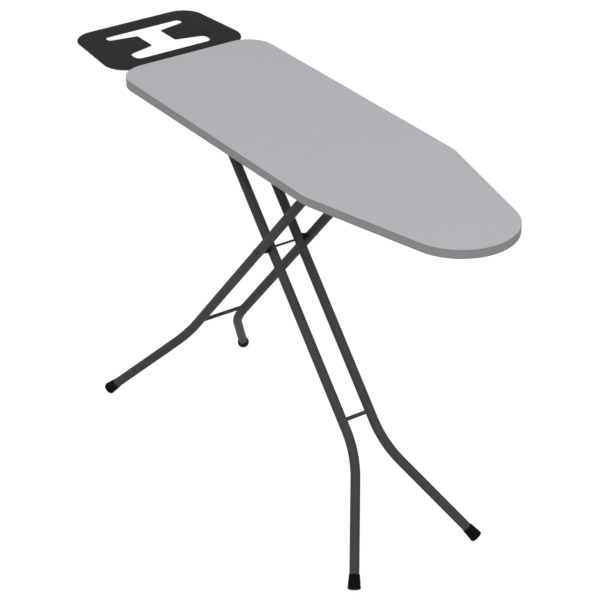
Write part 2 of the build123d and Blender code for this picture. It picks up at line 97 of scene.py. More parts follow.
sky = bpy.data.worlds.new("studio")
sky.use_nodes = True
sky_light = sky.node_tree.nodes["Background"]
sky_light.inputs["Color"].default_value = (1, 1, 1, 1)
sky_light.inputs["Strength"].default_value = 0.74
backdrop = add(sky.node_tree, "Background", Color=(1, 1, 1, 1))
looked_at = add(sky.node_tree, "LightPath")
sky_mix = add(
    sky.node_tree, "MixShader",
    Fac=looked_at.outputs["Is Camera Ray"], _1=sky_light.outputs[0], _2=backdrop.outputs[0],
)
sky.node_tree.links.new(sky_mix.outputs[0], sky.node_tree.nodes["World Output"].inputs["Surface"])
bpy.context.scene.world = sky
bpy.context.scene.view_settings.view_transform = "Standard"


def lamp(name, place, aim, width, power):
    """A square soft lamp of that width, at place, turned towards aim."""
    data = bpy.data.lights.new(name, "AREA")
    data.size = width
    data.energy = power
    lamp_object = bpy.data.objects.new(name, data)
    lamp_object.location = place
    lamp_object.rotation_euler = (Vector(aim) - Vector(place)).to_track_quat("-Z", "Y").to_euler()
    bpy.context.scene.collection.objects.link(lamp_object)


lamp("key", (3.6, -2.6, 4.2), (0, 0, 0.5), 1.8, 150)
lamp("overhead", (-0.8, 0.9, 4.0), (0, 0, 0.6), 3.0, 14)

# ---- The camera ----
# It stands off the near side of the nose and looks down on the board from well back, with a
# long lens and the slightest tilt.

camera_azimuth = np.radians(56.41)
camera_elevation = np.radians(29.47)
camera_tilt = np.radians(-0.624)
camera_aim = np.array((0.0183, 0.0, 0.4630))
camera_distance = 4.7252

back = np.array((
    np.sin(camera_azimuth) * np.cos(camera_elevation),
    -np.cos(camera_azimuth) * np.cos(camera_elevation),
    np.sin(camera_elevation),
))
level_right = np.array((np.cos(camera_azimuth), np.sin(camera_azimuth), 0))
level_up = np.cross(back, level_right)
right = np.cos(camera_tilt) * level_right + np.sin(camera_tilt) * level_up
up = np.cross(back, right)
camera_data = bpy.data.cameras.new("camera")
camera_data.lens = 125.92
camera_data.sensor_width = 36.0
camera_data.clip_end = 100.0
camera = bpy.data.objects.new("camera", camera_data)
camera_turn = np.eye(4)
camera_turn[:3] = np.column_stack((right, up, back, camera_aim + camera_distance * back))
camera.matrix_world = Matrix(camera_turn.tolist())
bpy.context.scene.collection.objects.link(camera)
bpy.context.scene.camera = camera

# ---- The cover's top cloth ----
# Plain-woven light grey cotton, stretched flat over the pad and turned down over the board's
# edge, where it is sewn to the side band. Parallel sides, straight tapers and a round nose.

cover_low, cover_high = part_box("cover")
rear_x, nose_x = cover_low[0], cover_high[0]
half_width = cover_high[1]
board_top = cover_high[2]
nose_radius = 0.1215
rear_radius = 0.0665
kink_radius = 0.108
kink_x = rear_x + 0.764
nose_centre = nose_x - nose_radius
to_nose = np.array((nose_centre - kink_x, -half_width))
taper = -np.arctan2(to_nose[1], to_nose[0]) - np.arcsin(nose_radius / np.hypot(*to_nose))
upward = np.array((0.0, 0.0, 1.0))


def board_edge(inset, count, z):
    """Places, outward angle and length so far, at evenly spaced points round the board.

    The edge is six arcs from the nose round and back to it, joined by the straight lines
    between their ends, and an inset edge has the same arc centres with smaller radii. The
    first point comes again as the last, and an even count mirrors across the board."""
    order = [0, 1, 2, 2, 1, 0]
    arc_x = np.array((nose_centre, kink_x - kink_radius * np.tan(taper / 2), rear_x + rear_radius))[order]
    arc_y = np.array((0, half_width - kink_radius, half_width - rear_radius))[order] * (0, 1, 1, -1, -1, 0)
    radius = np.array((nose_radius, kink_radius, rear_radius))[order] - inset
    quarter = np.pi / 2
    turns = quarter * np.array((0, 1, 1, 2, 3, 3, 4)) + taper * np.array((0, -1, 0, 0, 0, 1, 0))
    angle = turns[:-1, None] + np.diff(turns)[:, None] * np.linspace(0, 1, 80)
    x = (arc_x[:, None] + radius[:, None] * np.cos(angle)).ravel()
    y = (arc_y[:, None] + radius[:, None] * np.sin(angle)).ravel()
    run = np.append(0, np.cumsum(np.hypot(np.diff(x), np.diff(y))))
    at = np.linspace(0, run[-1], count + 1)
    places = np.column_stack([np.interp(at, run, x), np.interp(at, run, y), np.full(count + 1, z)])
    return places, np.interp(at, run, angle.ravel()), at


def level(angle):
    """Unit vectors in the level plane at each angle."""
    return np.stack([np.cos(angle), np.sin(angle), np.zeros_like(angle)], axis=-1)


def carry(path, side, rise, out, height):
    """A profile carried along a path: each point is path + out * side + height * rise."""
    out, height = np.atleast_2d(out), np.atleast_2d(height)
    rise = np.broadcast_to(rise, path.shape)
    return path[:, None] + out[..., None] * side[:, None] + height[..., None] * rise[:, None]


def from_spine(edge, angle, inset, shares):
    """Rows of points from the board's middle line out to an edge, less an inset.

    Each point is spine + share * (edge - spine). The spine of a point is the nearest place
    on the middle line between the rear corners' depth and the nose's centre."""
    spine = edge * (1, 0, 1)
    spine[:, 0] = np.clip(edge[:, 0], rear_x + half_width, nose_centre)
    return spine[:, None] + (edge - inset * level(angle) - spine)[:, None] * shares[:, None]


def grid_faces(rows, columns):
    """The quads of a grid of points: each joins a point to its next row and next column."""
    index = np.arange(rows * columns).reshape(rows, columns)
    return np.stack(
        [index[:-1, :-1], index[1:, :-1], index[1:, 1:], index[:-1, 1:]], axis=-1
    ).reshape(-1, 4)


def shell_of(name, points, faces, crease, lengths=None, filled=False):
    """A smooth piece of points and faces, with doubles merged and every face outwards.

    Faces that meet at more than crease degrees keep a sharp edge between them. lengths are
    lengths of cloth at each point, kept as the UV map. filled evens out the triangles that
    fill a flat face, by turning the long edges between them."""
    mesh = bpy.data.meshes.new(name)
    mesh.from_pydata(points.reshape(-1, 3), [], faces)
    if lengths is not None:
        mesh.uv_layers.new(name="cloth").data.foreach_set("uv", lengths[faces.ravel()].ravel())
    shell = bmesh.new()
    shell.from_mesh(mesh)
    bmesh.ops.remove_doubles(shell, verts=shell.verts, dist=1e-6)
    if filled:
        triangles = [face for face in shell.faces if len(face.verts) == 3]
        inner = [edge for edge in shell.edges if all(len(face.verts) == 3 for face in edge.link_faces)]
        bmesh.ops.beautify_fill(shell, faces=triangles, edges=inner)
    bmesh.ops.recalc_face_normals(shell, faces=shell.faces)
    shell.to_mesh(mesh)
    shell.free()
    mesh.shade_smooth()
    mesh.set_sharp_from_angle(angle=np.radians(crease))
    piece = bpy.data.objects.new(name, mesh)
    bpy.context.scene.collection.objects.link(piece)
    return piece


def skin(name, points, crease=40.0, lengths=None):
    """A smooth piece over a grid of points, with its seams and poles closed."""
    return shell_of(name, points, grid_faces(*points.shape[:2]), crease, lengths)


def fit(piece, body, slot, finish, *nodes):
    """Gives a piece its finish, the body it moves with and the nodes it stands for."""
    piece.data.materials.append(finish)
    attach(piece, body)
    if nodes:
        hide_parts(*nodes)


def thicken(piece, thickness):
    """A wall of that thickness, laid to the inside of the piece's faces."""
    wall = piece.modifiers.new("thickness", "SOLIDIFY")
    wall.thickness = thickness
    wall.offset = -1.0
    wall.use_even_offset = False


def reckon(tree, operation, *values):
    """The result of a maths node on sockets or numbers."""
    sockets = {f"_{place}": value for place, value in enumerate(values)}
    return add(tree, "Math", {"operation": operation}, **sockets).outputs[0]


def noise(tree, where, scale, detail, roughness=0.5):
    """The value of a noise pattern at a place, from 0 to 1."""
    return add(tree, "TexNoise", Vector=where, Scale=scale, Detail=detail, Roughness=roughness).outputs["Fac"]


def stretched(tree, where, scale):
    """A place scaled by a different number along each axis, which draws a pattern out."""
    return add(tree, "Mapping", Vector=where, Scale=scale).outputs[0]


def tint(tree, shader, color, shade):
    """Gives the shader a colour that is a plain colour times a shade near 1."""
    scaled = add(tree, "VectorMath", {"operation": "SCALE"}, _0=color, Scale=shade)
    tree.links.new(scaled.outputs[0], shader.inputs["Base Color"])


def raise_grain(tree, shader, height, strength, depth):
    """Lights the surface as if it stood up by a height pattern, that deep."""
    bump = add(tree, "Bump", Strength=strength, Distance=depth, Height=height)
    tree.links.new(bump.outputs[0], shader.inputs["Normal"])


def woven(name, color, pitch, slub, coordinates):
    """Plain weave: two crossed sets of round threads that pass over and under each other.

    Height is the larger of two thread profiles, warp and weft. Each is a half wave across
    the thread, times a wave along it that is half a thread out of step with the next one.
    Colour follows the height as painted shade, darker where the threads dip under each other, with a faint
    slub along each thread and soft clouds over all."""
    made, tree, shader = blank(name, color, 0.92, specular=0.25)
    shader.inputs["Sheen Weight"].default_value = 0.15
    shader.inputs["Sheen Roughness"].default_value = 0.5
    where = add(tree, "TexCoord")
    place = where.outputs[coordinates]
    split = add(tree, "SeparateXYZ", Vector=place)
    frequency = np.pi / pitch
    threads = []
    for across, along, lift in (("X", "Y", 0.35), ("Y", "X", -0.35)):
        wave_across = reckon(tree, "SINE", reckon(tree, "MULTIPLY", split.outputs[across], frequency))
        wave_along = reckon(tree, "COSINE", reckon(tree, "MULTIPLY", split.outputs[along], frequency))
        crown = reckon(tree, "ABSOLUTE", wave_across)
        step = reckon(tree, "MULTIPLY", wave_along, reckon(tree, "SIGN", wave_across))
        threads.append(reckon(tree, "MULTIPLY", crown, reckon(tree, "MULTIPLY_ADD", step, lift, 0.6)))
    height = reckon(tree, "MAXIMUM", *threads)
    slubs = noise(tree, stretched(tree, place, (40, 900, 900)), 1.0, 3.0, 0.6)
    clouds = noise(tree, where.outputs["Object"], 9.0, 4.0, 0.55)
    # Painted shade: the colour falls from 1.06 on the thread crowns to 0.84 down between the threads.
    painted_weave_shade = reckon(tree, "MULTIPLY_ADD", height, 0.22, 0.84)
    grain = reckon(tree, "MULTIPLY_ADD", slubs, slub, 1 - slub / 2)
    drift = reckon(tree, "MULTIPLY_ADD", clouds, 0.04, 0.98)
    tint(tree, shader, color, reckon(tree, "MULTIPLY", reckon(tree, "MULTIPLY", painted_weave_shade, grain), drift))
    raise_grain(tree, shader, height, 0.5, 0.0002)
    return made


edge_roll = 0.0009
cloth_thickness = 0.0007
seam_z = board_top - 0.0010
seam_tuck = 0.0002
thread_pitch = 0.00062
slub_strength = 0.10

edge, edge_angle, edge_run = board_edge(0.0, 720, board_top)
perimeter = edge_run[-1]
shares = np.append(np.linspace(0, 0.93, 14), (0.965, 0.988))
flat_cloth = from_spine(edge, edge_angle, edge_roll, shares)
softness = 0.00012 * (np.sin(flat_cloth[..., 0] * 23 + 1.3) * np.cos(flat_cloth[..., 1] * 31) - 1)
flat_cloth[..., 2] = board_top + softness * (1 - shares**6)
roll = np.radians(np.linspace(0, 90, 7))
roll_out = np.append(edge_roll * (np.sin(roll) - 1), -seam_tuck)
roll_down = np.append(edge_roll * (np.cos(roll) - 1), seam_z - board_top)
turned = carry(edge, level(edge_angle), upward, roll_out, roll_down)
cover_top = skin("cover_top", np.concatenate([flat_cloth, turned], axis=1))
thicken(cover_top, cloth_thickness)
top_cloth = woven("light_grey_cotton", (0.388, 0.391, 0.416), thread_pitch, slub_strength, "Object")
fit(cover_top, "tabletop", "cover_fabric", top_cloth, "cover")

# ---- The cover's side band and hem ----
# A strip of the same weave, coloured darker than the top cloth as painted shade on the cover's side,
# sewn to the top cloth just below the edge, drawn down the side, rolled under the rim and pulled
# in by an elastic that runs in a casing along its hem.

hem_width = 0.030
hem_z = cover_low[2]
casing_radius = 0.0021
casing_drop = 0.0002
casing_x = -hem_width + casing_radius
under_roll = 0.0024
band_height = seam_z - hem_z
band_thickness = 0.0005


def stretch(start, stop, count):
    """Evenly spaced points from start to just short of stop, each a pair."""
    part = np.linspace(0, 1, count, endpoint=False)[:, None]
    return np.array(start) + (np.array(stop) - np.array(start)) * part


def arc(centre, radius, start, stop, count):
    """Points on an arc, given by its centre, radius and end angles in degrees."""
    angle = np.radians(np.linspace(start, stop, count))[:, None]
    return np.array(centre) + radius * np.hstack([np.cos(angle), np.sin(angle)])


# The profile goes from the fold behind the seam, over it, down the side and under the rim,
# round the casing and back up to where the casing is stitched.
band_profile = np.vstack([
    [(-0.0013, band_height - 0.0003), (-0.0002, band_height + 0.0001), (0.0003, band_height - 0.0003)],
    [(0.00035, band_height - 0.0009), (0.0, band_height - 0.0019), (0.0003, band_height - 0.0032)],
    stretch((0.0002, band_height - 0.0048), (0.0, under_roll), 5),
    arc((-under_roll, under_roll), under_roll, 0, -90, 5),
    stretch((-0.006, 0.0), (casing_x + 0.004, casing_drop), 8),
    arc((casing_x, casing_radius + casing_drop), casing_radius, 270, 20, 9),
    [(casing_x + 0.0034, 0.0009)],
])
profile_run = np.append(0, np.cumsum(np.hypot(*np.diff(band_profile, axis=0).T)))
tucked = np.clip((-band_profile[:, 0] - under_roll) / (hem_width - under_roll), 0, 1)
band_edge, band_angle, band_run = board_edge(0.0, 1300, hem_z)
from_rear = band_edge[:, 0] - rear_x


def ripple(pitch, wander, phase):
    """A wave round the band's closed edge: whole waves of about that pitch.

    It is the sine of waves * turn + phase, which wanders in phase by two slower sines."""
    turn = 2 * np.pi * band_run / perimeter
    waves = round(perimeter / pitch)
    return np.sin(waves * turn + wander * np.sin(7 * turn + phase) + wander * np.sin(17 * turn) + phase)


# The hem is drawn in by two sets of gathers, except where the rest's arms press it flat. The
# elastic pulls it in and out a little, and puckers run up the lower part of the side. Along
# the sides the band hangs looser the nearer it is to the rear.
gather_pitch, small_gather_pitch, gather_depth = 0.0135, 0.0087, 0.00085
pull_pitch, pull_depth = 0.031, 0.0009
pucker_depth, pucker_height = 0.00018, 0.010
arm_y, arm_room, arm_reach = 0.125, 0.016, 0.05
rear_sag, taut_from_rear = 0.0032, 0.72
gathers = ripple(gather_pitch, 1.6, 0.4)
small_gathers = 0.6 * ripple(small_gather_pitch, 1.1, 2.0)
at_arm = np.exp(-(((np.abs(band_edge[:, 1]) - arm_y) / arm_room) ** 4)) * (from_rear < arm_reach)
fold = gather_depth * ((gathers + small_gathers - 1.6) * (1 - at_arm))[:, None] * tucked
pull = pull_depth * ripple(pull_pitch, 1.2, 1.0)[:, None] * tucked
low_side = (tucked == 0) * np.clip(1 - band_profile[:, 1] / pucker_height, 0, 1)
pucker = pucker_depth * gathers[:, None] * low_side
looseness = np.clip(1 - from_rear / taut_from_rear, 0, 1) * np.abs(np.sin(band_angle))
sag = rear_sag * looseness[:, None] * (1 - np.clip(band_profile[:, 1] / band_height, 0, 1))
band_points = carry(
    band_edge, level(band_angle), upward,
    band_profile[:, 0] + pull + pucker, band_profile[:, 1] + fold - sag,
)
band_lengths = np.stack(np.broadcast_arrays(band_run[:, None], profile_run), axis=-1).reshape(-1, 2)
cover_band = skin("cover_band", band_points, 70.0, band_lengths)
thicken(cover_band, band_thickness)
# Painted shade: the band's colour is about half the top cloth's, standing in for the shade on the cover's
# side.
band_cloth_painted_shade = woven("side_band_cotton_painted_shade", (0.216, 0.209, 0.213), thread_pitch, slub_strength, "UV")
fit(cover_band, "tabletop", "cover_fabric", band_cloth_painted_shade)

# ---- The cover's stitching ----
# Lock stitches in pale grey thread: one row that joins the band to the top cloth, in a slight
# groove just below the seam, and one that closes the elastic's casing under the board.

thread_width = 0.0005
seam_stitch_pitch, seam_stitch_gap, seam_stitch_out, seam_stitch_drop = 0.0032, 0.0008, 0.00012, 0.0019
hem_stitch_pitch, hem_stitch_gap, hem_stitch_in, hem_stitch_drop = 0.0042, 0.0010, 0.0062, 0.0016


def stitches(name, inset, z, pitch, gap):
    """A row of stitches round the board: short rounded rods, each pitch less gap long.

    A stitch is a grid of five rings along it and six points round it. The ring's radius is
    the square root of 1 - way**4, so it is plump in the middle and closed at both ends."""
    count = int(round(perimeter / pitch))
    places, angle, _ = board_edge(inset, count, z)
    centre, outward = places[:-1, None, None], level(angle)[:-1]
    ahead = np.cross(upward, outward)[:, None, None]
    outward = outward[:, None, None]
    way = np.linspace(-1, 1, 5)
    ring = np.linspace(0, 2 * np.pi, 7)
    plump = np.sqrt(np.clip(1 - way**4, 0, 1))[:, None] * thread_width / 2
    grid = (
        centre
        + ahead * (way * (pitch - gap) / 2)[:, None, None]
        + outward * (plump * np.cos(ring))[..., None]
        + upward * (plump * np.sin(ring))[..., None]
    )
    faces = grid_faces(len(way), len(ring)) + np.arange(count)[:, None, None] * len(way) * len(ring)
    return shell_of(name, grid, faces.reshape(-1, 4), 180.0)


thread, thread_tree, thread_shader = blank("grey_thread", (0.17, 0.17, 0.175), 0.7, specular=0.3)
thread_twist = noise(thread_tree, add(thread_tree, "TexCoord").outputs["Object"], 2600.0, 2.0)
raise_grain(thread_tree, thread_shader, thread_twist, 0.4, 0.0001)
seam_stitches = stitches(
    "seam_stitches", -seam_stitch_out, seam_z - seam_stitch_drop, seam_stitch_pitch, seam_stitch_gap
)
hem_stitches = stitches(
    "hem_stitches", hem_width - hem_stitch_in, hem_z - hem_stitch_drop, hem_stitch_pitch, hem_stitch_gap
)
for row in (seam_stitches, hem_stitches):
    fit(row, "tabletop", "cover_fabric", thread)

# ---- The pad ----
# A slab of off-white felt-faced foam, cut to the board's shape and held flat by the cover. Its
# cut edge is slightly rounded by the cloth drawn over it.

pad_inset = 0.0016
pad_round = 0.0012
pad_lift = 0.00005
pad_low, pad_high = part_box("foam_pad")
pad_top, pad_bottom = pad_high[2] + pad_lift, pad_low[2] + pad_lift
pad_edge, pad_angle, _ = board_edge(pad_inset, 480, pad_top)
pad_face = from_spine(pad_edge, pad_angle, pad_round, np.linspace(0, 0.97, 7))
pad_base = pad_face[:, ::-1] * (1, 1, 0) + (0, 0, pad_bottom)
over_edge = np.radians(np.linspace(90, -90, 9))
pad_side = carry(
    pad_edge * (1, 1, 0), level(pad_angle), upward,
    pad_round * (np.cos(over_edge) - 1),
    pad_bottom + (pad_top - pad_bottom) / 2 * (1 + np.sin(over_edge)),
)
pad = skin("pad", np.concatenate([pad_face, pad_side, pad_base], axis=1))
felt, felt_tree, felt_shader = blank("off_white_felt", (0.78, 0.77, 0.74), 0.95, specular=0.2)
felt_where = add(felt_tree, "TexCoord").outputs["Object"]
felt_fibre = noise(felt_tree, felt_where, 1400.0, 6.0, 0.7)
felt_ramp = add(felt_tree, "ValToRGB", Fac=felt_fibre)
felt_ramp.color_ramp.elements[0].color = (0.55, 0.54, 0.51, 1)
felt_ramp.color_ramp.elements[1].color = (0.86, 0.85, 0.82, 1)
felt_tree.links.new(felt_ramp.outputs["Color"], felt_shader.inputs["Base Color"])
raise_grain(felt_tree, felt_shader, felt_fibre, 0.5, 0.0004)
fit(pad, "tabletop", "pad_felt", felt, "foam_pad")

# ---- The steel mesh under the pad ----
# Expanded steel: a sheet slit in rows and pulled open into long diamonds, with a plain border
# that is welded down on the rim tube. Steam leaves the pad through it.

long_way, short_way = 0.024, 0.0105
half_bond = 0.0022
bond_width, strand_width = 0.0030, 0.0015
strand_step = 0.0001
border_width = 0.016
sheet_low, sheet_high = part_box("mesh_top")
sheet_base, sheet_top = sheet_low[2], sheet_high[2] - pad_lift


def bars(start, stop, width, low_z, high_z):
    """Flat bars from start to stop in the level plane: eight corners and six faces each."""
    ahead = stop - start
    ahead = ahead / np.linalg.norm(ahead, axis=1, keepdims=True)
    side = np.stack([-ahead[:, 1], ahead[:, 0]], axis=-1) * width / 2
    ring = np.stack([start - side, stop - side, stop + side, start + side], axis=1)
    z = np.broadcast_to(np.repeat([low_z, high_z], 4)[:, None], (len(start), 8, 1))
    corners = np.concatenate([np.concatenate([ring, ring], axis=1), z], axis=2)
    faces = np.array([(3, 2, 1, 0), (4, 5, 6, 7), (0, 1, 5, 4), (1, 2, 6, 5), (2, 3, 7, 6), (3, 0, 4, 7)])
    return corners.reshape(-1, 3), (faces + np.arange(len(start))[:, None, None] * 8).reshape(-1, 4)


# The bonds stand where the rows' steps along and across add up to an even number, and inside
# a guard line: further in than the border all round.
steps_x = np.arange(rear_x, nose_x, long_way / 2)
steps_y = np.arange(-half_width, half_width, short_way / 2)
step_i, step_j = np.meshgrid(np.arange(len(steps_x)), np.arange(len(steps_y)), indexing="ij")
even = (step_i + step_j) % 2 == 0
bonds = np.stack([steps_x[step_i[even]], steps_y[step_j[even]]], axis=-1)
guard, guard_angle, _ = board_edge(border_width, 240, 0.0)
beyond = ((bonds[:, None] - guard[:, :2]) * level(guard_angle)[:, :2]).sum(axis=2)
bonds = bonds[beyond.max(axis=1) < 0]
slants = [(long_way / 2 - half_bond, turn * short_way / 2) for turn in (1, -1)]
bond_points, bond_faces = bars(
    bonds - (half_bond, 0), bonds + (half_bond, 0), bond_width, sheet_base, sheet_top
)
strand_points, strand_faces = bars(
    np.concatenate([bonds + (half_bond, 0)] * 2), np.concatenate([bonds + slant for slant in slants]),
    strand_width, sheet_base + strand_step, sheet_top - strand_step,
)
steel_mesh = shell_of(
    "steel_mesh", np.concatenate([bond_points, strand_points]),
    np.concatenate([bond_faces, strand_faces + len(bond_points)]), 30.0,
)
border_edge, border_angle, _ = board_edge(pad_inset, 480, 0.0)
mesh_border = skin("mesh_border", carry(
    border_edge, level(border_angle), upward,
    border_width * np.array((0, 0, -1, -1, 0)),
    np.array((sheet_base, sheet_top, sheet_top, sheet_base, sheet_base)),
))


def powder_coat(name, color, roughness, grit, specular):
    """Baked powder paint: a fine orange-peel skin, with a slow drift in shade and gloss."""
    made, tree, shader = blank(name, color, roughness, specular=specular)
    where = add(tree, "TexCoord").outputs["Object"]
    drift = noise(tree, where, 14.0, 3.0, 0.6)
    shade = reckon(tree, "MULTIPLY_ADD", drift, 0.16, 0.92)
    speck = reckon(tree, "MULTIPLY_ADD", noise(tree, where, 3200.0, 1.0), grit, 1 - grit / 2)
    tint(tree, shader, color, reckon(tree, "MULTIPLY", shade, speck))
    tree.links.new(reckon(tree, "MULTIPLY_ADD", drift, 0.12, roughness - 0.06), shader.inputs["Roughness"])
    raise_grain(tree, shader, noise(tree, where, 1500.0, 3.0), 0.25, 0.00015)
    return made


frame_paint = powder_coat("dark_grey_frame_paint", (0.075, 0.076, 0.078), 0.48, 0.25, 0.35)
fit(steel_mesh, "tabletop", "board_steel", frame_paint, "mesh_top")
fit(mesh_border, "tabletop", "board_steel", frame_paint)

# ---- The rim tube ----
# One round steel tube bent to the board's outline and welded end to end. It carries the mesh
# on top and the cross ribs between its sides.

rim_low, rim_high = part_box("rim_frame")
rim_radius = (rim_high[2] - rim_low[2]) / 2
rim_edge, rim_angle, _ = board_edge(rim_low[0] - rear_x + rim_radius, 480, rim_low[2] + rim_radius)
rim_round = np.linspace(0, 2 * np.pi, 25)
rim_tube = skin("rim_tube", carry(
    rim_edge, level(rim_angle), upward, rim_radius * np.cos(rim_round), rim_radius * np.sin(rim_round)
))
fit(rim_tube, "tabletop", "board_steel", frame_paint, "rim_frame")

# ---- Ribs, rails and brackets ----
# Folded and box-section steel, painted like the rim; rivets, pins and clips are plain zinc
# plated, the latch comb and its lever are bright zinc-plated sheet, bushes are nylon.


def plated(name, color, roughness):
    """Zinc plating on steel: a metal with fine brushed streaks and a cloudy bloom."""
    made, tree, shader = blank(name, color, roughness, metallic=1.0)
    where = add(tree, "TexCoord").outputs["Object"]
    streaks = noise(tree, stretched(tree, where, (60, 1400, 1400)), 1.0, 4.0, 0.6)
    bloom = noise(tree, where, 90.0, 4.0, 0.7)
    tint(tree, shader, color, reckon(tree, "MULTIPLY_ADD", bloom, 0.3, 0.82))
    tree.links.new(reckon(tree, "MULTIPLY_ADD", streaks, 0.2, roughness - 0.1), shader.inputs["Roughness"])
    raise_grain(tree, shader, streaks, 0.15, 0.0001)
    return made


def moulded(name, color, roughness, grain, specular):
    """Moulded plastic or rubber: a fine spark-eroded grain and a slow drift in shade."""
    made, tree, shader = blank(name, color, roughness, specular=specular)
    where = add(tree, "TexCoord").outputs["Object"]
    spark = add(tree, "TexVoronoi", Vector=where, Scale=grain)
    tint(tree, shader, color, reckon(tree, "MULTIPLY_ADD", noise(tree, where, 70.0, 4.0, 0.6), 0.5, 0.75))
    raise_grain(tree, shader, spark.outputs["Distance"], 0.2, 0.00015)
    return made


def refinish(finish, *nodes):
    """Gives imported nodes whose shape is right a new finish."""
    for node in nodes:
        node_mesh = frame["nodes"][node].data
        node_mesh.materials.clear()
        node_mesh.materials.append(finish)


zinc = plated("zinc_plated_steel", (0.62, 0.62, 0.63), 0.38)
bright_zinc = plated("bright_zinc_sheet", (0.70, 0.70, 0.69), 0.30)
nylon = moulded("natural_nylon", (0.62, 0.61, 0.57), 0.45, 1500.0, 0.5)
black_plastic = moulded("black_moulded_plastic", (0.008, 0.008, 0.008), 0.5, 1400.0, 0.12)
refinish(frame_paint, *(f"cross_rib_{rib}" for rib in range(1, 7)))
refinish(frame_paint, "left_rail", "right_rail", "left_rest_arm", "right_rest_arm")
refinish(frame_paint, "hinge_bracket", "latch_ears")
refinish(zinc, "arm_rivets", "bracket_rivets", "rail_rivets", "iron_rest_screws", "latch_pin")
refinish(zinc, "latch_clips", "front_hinge_rod", "slide_rod", "slide_washers", "pivot_nut")
refinish(bright_zinc, "latch_comb", "release_lever")
refinish(nylon, "hinge_bushes", "slide_glides")
refinish(black_plastic, "lever_grip")

# ---- The latch spring ----
# A torsion spring of round steel wire, wound in close turns on the latch pin.

spring_low, spring_high = np.array(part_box("latch_spring"))
_, spring_y, spring_z = (spring_low + spring_high) / 2
wire_radius = 0.00045
coil_radius = (spring_high[2] - spring_low[2]) / 2 - wire_radius
spring_turns = 16
wind = np.linspace(0, 2 * np.pi * spring_turns, 16 * spring_turns + 1)
coil = np.stack([
    spring_low[0] + (spring_high[0] - spring_low[0]) * wind / wind[-1],
    spring_y + coil_radius * np.cos(wind),
    spring_z + coil_radius * np.sin(wind),
], axis=-1)
wire_ahead = np.gradient(coil, axis=0)
wire_ahead = wire_ahead / np.linalg.norm(wire_ahead, axis=1, keepdims=True)
radial = np.stack([np.zeros_like(wind), np.cos(wind), np.sin(wind)], axis=-1)
wire_round = np.linspace(0, 2 * np.pi, 9)
wire_size = np.full((len(coil), 1), wire_radius)
wire_size[[0, -1]] = 0
spring = skin("torsion_spring", carry(
    coil, radial, np.cross(wire_ahead, radial), wire_size * np.cos(wire_round), wire_size * np.sin(wire_round)
))
fit(spring, "tabletop", "zinc_steel", zinc, "latch_spring")

# ---- The iron rest ----
# A pressed steel plate behind the board, powder coated matt black. Its outer edge is rolled
# over into a narrow lip, and its H-shaped cutout has a plain cut edge. An iron stands on it.

rest_low, rest_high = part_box("iron_rest")
rest_rear, rest_front = rest_low[0], rest_high[0]
rest_top, rest_bottom = rest_high[2], rest_low[2]
rest_sheet = 0.0016
sheet_under = rest_top - rest_sheet
lip_round, cut_under_round = 0.0004, 0.0003
roll_over, cut_round = 0.0018, 0.0005
rest_corners = [
    (rest_rear, -0.163, 0.057),
    (rest_front, -0.185, 0.062),
    (rest_front, 0.185, 0.062),
    (rest_rear, 0.163, 0.057),
]
half_cutout = [
    (rear_x - 0.0525, 0.101, 0.015),
    (rear_x - 0.088, 0.101, 0.015),
    (rear_x - 0.106, 0.031, 0.006),
    (rear_x - 0.174, 0.031, 0.006),
    (rear_x - 0.187, 0.101, 0.010),
    (rear_x - 0.2085, 0.101, 0.011),
]
cutout_corners = half_cutout + [(x, -y, radius) for x, y, radius in half_cutout[::-1]]


def rounded_loop(corners, steps):
    """Places round a closed outline and the way out at each, the first one again last.

    Each corner (x, y, radius) of an anticlockwise outline becomes an arc that touches both of
    its sides: it starts radius * tan(half the turn) before the corner and turns through it."""
    corner = np.array(corners)
    spot, radius = corner[:, :2], corner[:, 2]
    before = spot - np.roll(spot, 1, axis=0)
    before = before / np.linalg.norm(before, axis=1, keepdims=True)
    after = np.roll(before, -1, axis=0)
    turn = np.arctan2(before[:, 0] * after[:, 1] - before[:, 1] * after[:, 0], (before * after).sum(axis=1))
    inward = np.stack([-before[:, 1], before[:, 0]], axis=-1)
    bend = (radius * np.sign(turn))[:, None]
    centre = spot - before * (radius * np.tan(np.abs(turn) / 2))[:, None] + inward * bend
    heading = np.arctan2(-inward[:, 1], -inward[:, 0])[:, None] + turn[:, None] * np.linspace(0, 1, steps)
    out = level(heading)
    places = np.column_stack([centre, np.zeros(len(centre))])[:, None] + out * bend[:, None]
    places, out = places.reshape(-1, 3), out.reshape(-1, 3)
    return np.vstack([places, places[:1]]), np.vstack([out, out[:1]])


def rest_wall(loop, side, radius, below):
    """The plate's edge round a loop: a rounding of that radius from the top face, then below.

    below is the rest of the profile, as pairs of distance outwards and height. It goes down
    round a turned-down lip and up again inside it, or just down a cut edge."""
    over = np.radians(np.linspace(90, 0, 7))
    rounding = np.stack([radius * (np.cos(over) - 1), rest_top + radius * (np.sin(over) - 1)], axis=-1)
    profile = np.vstack([rounding, below])
    return carry(loop, side, upward, profile[:, 0], profile[:, 1])


rest_loop, rest_out = rounded_loop(rest_corners, 28)
cutout_loop, cutout_out = rounded_loop(cutout_corners, 14)
walls = [
    rest_wall(rest_loop, rest_out, roll_over, [
        (0, rest_bottom + lip_round), (-lip_round, rest_bottom), (-rest_sheet + lip_round, rest_bottom),
        (-rest_sheet, rest_bottom + lip_round), (-rest_sheet, sheet_under),
    ]),
    rest_wall(cutout_loop, -cutout_out, cut_round, [
        (0, sheet_under + cut_under_round), (-cut_under_round, sheet_under),
    ]),
]
first_corner = walls[0].shape[0] * walls[0].shape[1]
rest_faces = [grid_faces(*walls[0].shape[:2]), grid_faces(*walls[1].shape[:2]) + first_corner]
corner_index = [np.arange(first_corner), first_corner + np.arange(walls[1][..., 0].size)]
corner_index = [index.reshape(wall.shape[:2]) for index, wall in zip(corner_index, walls)]
for end in (0, -1):
    rims = [[Vector(place) for place in wall[:-1, end]] for wall in walls]
    rim_corners = np.concatenate([index[:-1, end] for index in corner_index])
    rest_faces.append(rim_corners[np.array(tessellate_polygon(rims))])
